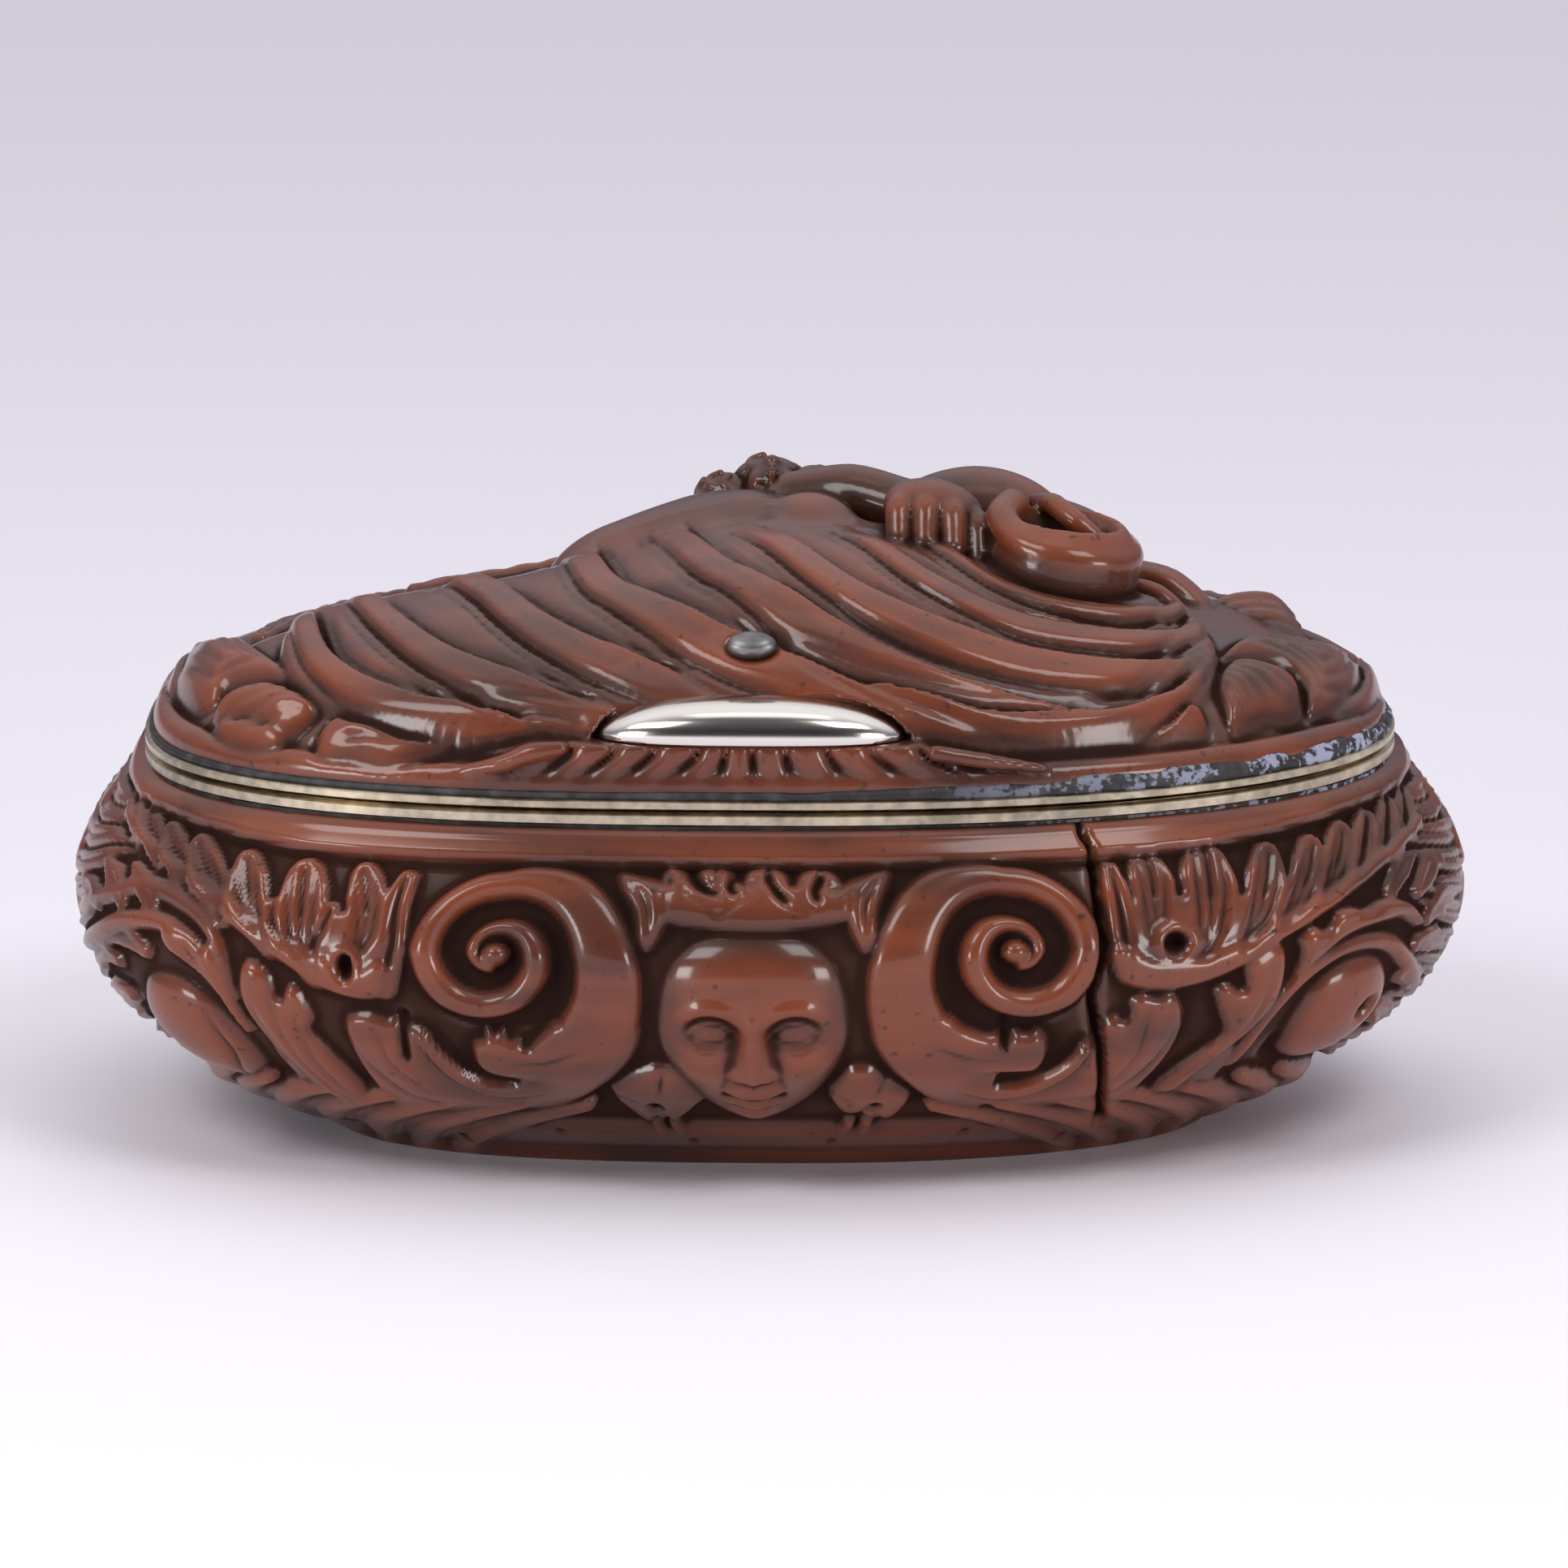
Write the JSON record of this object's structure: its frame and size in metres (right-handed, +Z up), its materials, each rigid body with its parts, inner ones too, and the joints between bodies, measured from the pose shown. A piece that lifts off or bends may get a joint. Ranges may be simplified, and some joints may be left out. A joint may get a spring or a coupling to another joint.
{
  "type": "snuff box",
  "caption": "Oval bombe snuff box carved all over with scrollwork, a mask and a draped reclining figure, with silver rims, a half-moon thumbpiece and a hinged lid.",
  "frame": {"origin": "centre of the flat foot, on the surface the box stands on", "axes": "+X along the box to the viewer's right, -Y towards the thumbpiece and the mask, +Y towards the hinge, +Z up"},
  "size_m": [0.0799, 0.0506, 0.0367],
  "materials": {
    "carved_nut": "polished, with dark grime in the hollows",
    "polished_silver": "polished silver, lightly tarnished",
    "rim_silver": "tarnished silver, warm and worn",
    "cement": "dark brittle cement"
  },
  "bodies": {
    "box": {"body_shell": "carved_nut", "body_cement_bead": "cement", "body_rim_mount": "rim_silver", "body_rim_pin_1": "polished_silver", "body_rim_pin_2": "polished_silver", "body_rim_pin_3": "polished_silver", "body_rim_pin_4": "polished_silver", "body_rim_pin_5": "polished_silver", "body_rim_pin_6": "polished_silver", "body_hinge_knuckle_1": "rim_silver", "body_hinge_knuckle_2": "rim_silver", "body_hinge_knuckle_3": "rim_silver", "hinge_pin": "polished_silver"},
    "lid": {"lid_shell": "carved_nut", "lid_cement_bead": "cement", "lid_rim_mount": "rim_silver", "lid_rim_pin_1": "polished_silver", "lid_rim_pin_2": "polished_silver", "lid_rim_pin_3": "polished_silver", "lid_rim_pin_4": "polished_silver", "lid_rim_pin_5": "polished_silver", "lid_rim_pin_6": "polished_silver", "lid_hinge_knuckle_1": "rim_silver", "lid_hinge_knuckle_2": "rim_silver", "thumbpiece": "polished_silver", "thumb_rivet_washer_1": "polished_silver", "thumb_rivet_washer_2": "polished_silver", "lid_stud": "polished_silver"}
  },
  "joints": [
    {"name": "lid_hinge", "type": "hinge", "parent": "box", "child": "lid", "pos_m": [0, 0.02285, 0.0221], "axis": [-1, 0, 0], "range_deg": [0, 100]}
  ]
}
